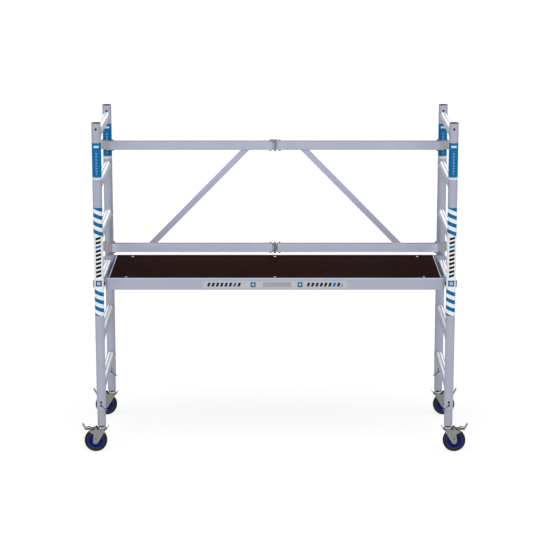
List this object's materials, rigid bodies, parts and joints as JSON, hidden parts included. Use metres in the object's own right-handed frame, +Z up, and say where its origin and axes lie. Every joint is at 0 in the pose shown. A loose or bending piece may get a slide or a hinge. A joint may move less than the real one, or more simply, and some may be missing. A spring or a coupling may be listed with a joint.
{
  "type": "folding room scaffold",
  "caption": "Rolling aluminium baker scaffold: ladder end frames on braked swivel casters, a hinged guard panel along the back and a hook-on deck platform.",
  "frame": {"origin": "on the floor, under the middle of the scaffold", "axes": "+X along the deck to the right, +Y to the back where the guard panel is, +Z up"},
  "size_m": [2.114, 0.7674, 1.8195],
  "materials": {
    "drawn_aluminium": "drawn, satin anodised",
    "cast_aluminium": "sand cast and tumbled",
    "zinc_plate": "zinc plated pressed steel",
    "black_plastic": "moulded, matte",
    "film_faced_ply": "film-faced plywood with a fine mesh print",
    "blue_plastic": "moulded, semi matte",
    "tyre": "grey-black rubber",
    "blue_vinyl": "printed sticker, satin",
    "white_vinyl": "printed sticker, satin",
    "silver_vinyl": "printed sticker, satin"
  },
  "bodies": {
    "left_frame": {"left_front_post": "drawn_aluminium", "left_rear_post": "drawn_aluminium", "left_rungs": "drawn_aluminium", "left_post_caps": "black_plastic", "left_caster_legs": "drawn_aluminium", "left_front_swivel_head": "zinc_plate", "left_rear_swivel_head": "zinc_plate"},
    "left_panel": {"left_lower_rail": "drawn_aluminium", "left_upper_rail": "drawn_aluminium", "left_diagonal_brace": "drawn_aluminium", "left_post_collars": "cast_aluminium", "left_rail_fasteners": "zinc_plate", "left_middle_hinge": "cast_aluminium", "middle_hinge_pins": "zinc_plate"},
    "right_frame": {"right_front_post": "drawn_aluminium", "right_rear_post": "drawn_aluminium", "right_rungs": "drawn_aluminium", "right_post_caps": "black_plastic", "right_caster_legs": "drawn_aluminium", "right_front_swivel_head": "zinc_plate", "right_rear_swivel_head": "zinc_plate"},
    "right_panel": {"right_lower_rail": "drawn_aluminium", "right_upper_rail": "drawn_aluminium", "right_diagonal_brace": "drawn_aluminium", "right_post_collars": "cast_aluminium", "right_rail_fasteners": "zinc_plate", "right_middle_hinge": "cast_aluminium"},
    "latch": {"upper_rail_latch": "zinc_plate"},
    "platform": {"platform_deck": "film_faced_ply", "platform_front_beam": "drawn_aluminium", "platform_rear_beam": "drawn_aluminium", "platform_end_beams": "drawn_aluminium", "platform_cross_bars": "drawn_aluminium", "platform_claws": "cast_aluminium", "deck_end_trims": "drawn_aluminium", "deck_rivets": "zinc_plate"},
    "left_front_caster": {"left_front_fork": "zinc_plate", "left_front_axle": "zinc_plate"},
    "left_front_wheel": {"left_front_wheel_hub": "blue_plastic", "left_front_tyre": "tyre"},
    "left_front_brake": {"left_front_brake_pedal": "zinc_plate"},
    "left_front_clip": {"left_front_locking_clip": "zinc_plate"},
    "left_rear_caster": {"left_rear_fork": "zinc_plate", "left_rear_axle": "zinc_plate"},
    "left_rear_wheel": {"left_rear_wheel_hub": "blue_plastic", "left_rear_tyre": "tyre"},
    "left_rear_brake": {"left_rear_brake_pedal": "zinc_plate"},
    "left_rear_clip": {"left_rear_locking_clip": "zinc_plate"},
    "right_front_caster": {"right_front_fork": "zinc_plate", "right_front_axle": "zinc_plate"},
    "right_front_wheel": {"right_front_wheel_hub": "blue_plastic", "right_front_tyre": "tyre"},
    "right_front_brake": {"right_front_brake_pedal": "zinc_plate"},
    "right_front_clip": {"right_front_locking_clip": "zinc_plate"},
    "right_rear_caster": {"right_rear_fork": "zinc_plate", "right_rear_axle": "zinc_plate"},
    "right_rear_wheel": {"right_rear_wheel_hub": "blue_plastic", "right_rear_tyre": "tyre"},
    "right_rear_brake": {"right_rear_brake_pedal": "zinc_plate"},
    "right_rear_clip": {"right_rear_locking_clip": "zinc_plate"}
  },
  "joints": [
    {"name": "guard_panel_fold", "type": "hinge", "parent": "left_frame", "child": "left_panel", "pos_m": [-0.95, 0.35, 1.3], "axis": [0, 0, 1], "range_deg": [-1.8, 0]},
    {"name": "middle_hinge_fold", "type": "hinge", "parent": "left_panel", "child": "right_panel", "pos_m": [0, 0.3095, 1.3], "axis": [0, 0, -1], "range_deg": [-3.6, 0]},
    {"name": "right_frame_fold", "type": "hinge", "parent": "right_panel", "child": "right_frame", "pos_m": [0.95, 0.35, 1.3], "axis": [0, 0, 1], "range_deg": [-1.8, 0]},
    {"name": "latch_lift", "type": "hinge", "parent": "left_panel", "child": "latch", "pos_m": [-0.022, 0.295, 1.625], "axis": [0, -1, 0], "range_deg": [0, 60]},
    {"name": "platform_lift", "type": "slide", "parent": "left_frame", "child": "platform", "axis": [0, 0, 1], "range_m": [0, 0.2]},
    {"name": "left_front_swivel", "type": "hinge", "parent": "left_frame", "child": "left_front_caster", "pos_m": [-0.95, -0.35, 0.127], "axis": [0, 0, 1], "continuous": true},
    {"name": "left_front_wheel_spin", "type": "hinge", "parent": "left_front_caster", "child": "left_front_wheel", "pos_m": [-0.984, -0.35, 0.0625], "axis": [0, 1, 0], "continuous": true},
    {"name": "left_front_brake_press", "type": "hinge", "parent": "left_front_caster", "child": "left_front_brake", "pos_m": [-0.982, -0.35, 0.131], "axis": [0, -1, 0], "range_deg": [0, 10]},
    {"name": "left_front_clip_pull", "type": "slide", "parent": "left_frame", "child": "left_front_clip", "axis": [0, -1, 0], "range_m": [0, 0.06]},
    {"name": "left_rear_swivel", "type": "hinge", "parent": "left_frame", "child": "left_rear_caster", "pos_m": [-0.95, 0.35, 0.127], "axis": [0, 0, 1], "continuous": true},
    {"name": "left_rear_wheel_spin", "type": "hinge", "parent": "left_rear_caster", "child": "left_rear_wheel", "pos_m": [-0.984, 0.35, 0.0625], "axis": [0, 1, 0], "continuous": true},
    {"name": "left_rear_brake_press", "type": "hinge", "parent": "left_rear_caster", "child": "left_rear_brake", "pos_m": [-0.982, 0.35, 0.131], "axis": [0, -1, 0], "range_deg": [0, 10]},
    {"name": "left_rear_clip_pull", "type": "slide", "parent": "left_frame", "child": "left_rear_clip", "axis": [0, -1, 0], "range_m": [0, 0.06]},
    {"name": "right_front_swivel", "type": "hinge", "parent": "right_frame", "child": "right_front_caster", "pos_m": [0.95, -0.35, 0.127], "axis": [0, 0, 1], "continuous": true},
    {"name": "right_front_wheel_spin", "type": "hinge", "parent": "right_front_caster", "child": "right_front_wheel", "pos_m": [0.984, -0.35, 0.0625], "axis": [0, 1, 0], "continuous": true},
    {"name": "right_front_brake_press", "type": "hinge", "parent": "right_front_caster", "child": "right_front_brake", "pos_m": [0.982, -0.35, 0.131], "axis": [0, 1, 0], "range_deg": [0, 10]},
    {"name": "right_front_clip_pull", "type": "slide", "parent": "right_frame", "child": "right_front_clip", "axis": [0, -1, 0], "range_m": [0, 0.06]},
    {"name": "right_rear_swivel", "type": "hinge", "parent": "right_frame", "child": "right_rear_caster", "pos_m": [0.95, 0.35, 0.127], "axis": [0, 0, 1], "continuous": true},
    {"name": "right_rear_wheel_spin", "type": "hinge", "parent": "right_rear_caster", "child": "right_rear_wheel", "pos_m": [0.984, 0.35, 0.0625], "axis": [0, 1, 0], "continuous": true},
    {"name": "right_rear_brake_press", "type": "hinge", "parent": "right_rear_caster", "child": "right_rear_brake", "pos_m": [0.982, 0.35, 0.131], "axis": [0, 1, 0], "range_deg": [0, 10]},
    {"name": "right_rear_clip_pull", "type": "slide", "parent": "right_frame", "child": "right_rear_clip", "axis": [0, -1, 0], "range_m": [0, 0.06]}
  ],
  "couplings": [
    {"joint": "middle_hinge_fold", "follows": "guard_panel_fold", "ratio": 2},
    {"joint": "right_frame_fold", "follows": "guard_panel_fold", "ratio": 1}
  ]
}
